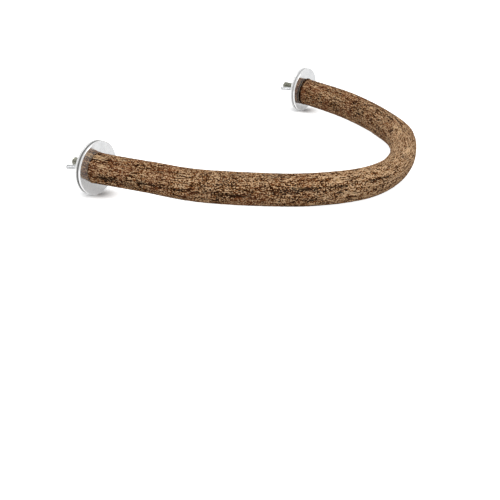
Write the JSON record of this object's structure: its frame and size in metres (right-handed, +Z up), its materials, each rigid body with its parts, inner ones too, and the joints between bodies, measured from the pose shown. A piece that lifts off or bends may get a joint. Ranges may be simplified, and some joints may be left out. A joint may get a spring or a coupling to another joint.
{
  "type": "bird perch",
  "caption": "U-shaped natural-wood bird perch with bark, fixed inside a cage wall at both ends by studs, large washers and wing nuts.",
  "frame": {"origin": "midway between the axes of the two studs, in the plane of the inner washers' faces that bear on the cage", "axes": "+X from the cage wall into the cage, towards the bend, +Y from the left stud to the right stud, +Z up"},
  "size_m": [0.1905, 0.319, 0.038],
  "materials": {
    "bark": "natural brown bark, dry and slightly rough, bare wood on the cut ends",
    "stud_steel": "bright zinc-plated steel",
    "washer_steel": "zinc-plated steel, bright as a mirror",
    "nut_steel": "zinc-plated steel, bright"
  },
  "bodies": {
    "perch": {"branch": "bark", "left_hanger_bolt": "stud_steel", "right_hanger_bolt": "stud_steel"},
    "left_inner": {"left_inner_washer": "washer_steel"},
    "right_inner": {"right_inner_washer": "washer_steel"},
    "left_outer": {"left_outer_washer": "washer_steel"},
    "right_outer": {"right_outer_washer": "washer_steel"},
    "left_nut": {"left_wing_nut": "nut_steel"},
    "right_nut": {"right_wing_nut": "nut_steel"}
  },
  "joints": [
    {"name": "left_inner_turn", "type": "hinge", "parent": "perch", "child": "left_inner", "pos_m": [0, -0.1405, 0], "axis": [-1, 0, 0], "continuous": true},
    {"name": "right_inner_turn", "type": "hinge", "parent": "perch", "child": "right_inner", "pos_m": [0, 0.1405, 0], "axis": [-1, 0, 0], "continuous": true},
    {"name": "left_outer_slide", "type": "slide", "parent": "perch", "child": "left_outer", "axis": [-1, 0, 0], "range_m": [-0.001, 0.01]},
    {"name": "left_nut_turn", "type": "hinge", "parent": "left_outer", "child": "left_nut", "pos_m": [-0.0032, -0.1405, 0], "axis": [-1, 0, 0], "range_deg": [-360, 3600]},
    {"name": "right_outer_slide", "type": "slide", "parent": "perch", "child": "right_outer", "axis": [-1, 0, 0], "range_m": [-0.001, 0.01]},
    {"name": "right_nut_turn", "type": "hinge", "parent": "right_outer", "child": "right_nut", "pos_m": [-0.0032, 0.1405, 0], "axis": [-1, 0, 0], "range_deg": [-360, 3600]}
  ],
  "couplings": [
    {"joint": "left_nut_turn", "follows": "left_outer_slide", "rad_per_m": 6283.2},
    {"joint": "right_nut_turn", "follows": "right_outer_slide", "rad_per_m": 6283.2}
  ]
}
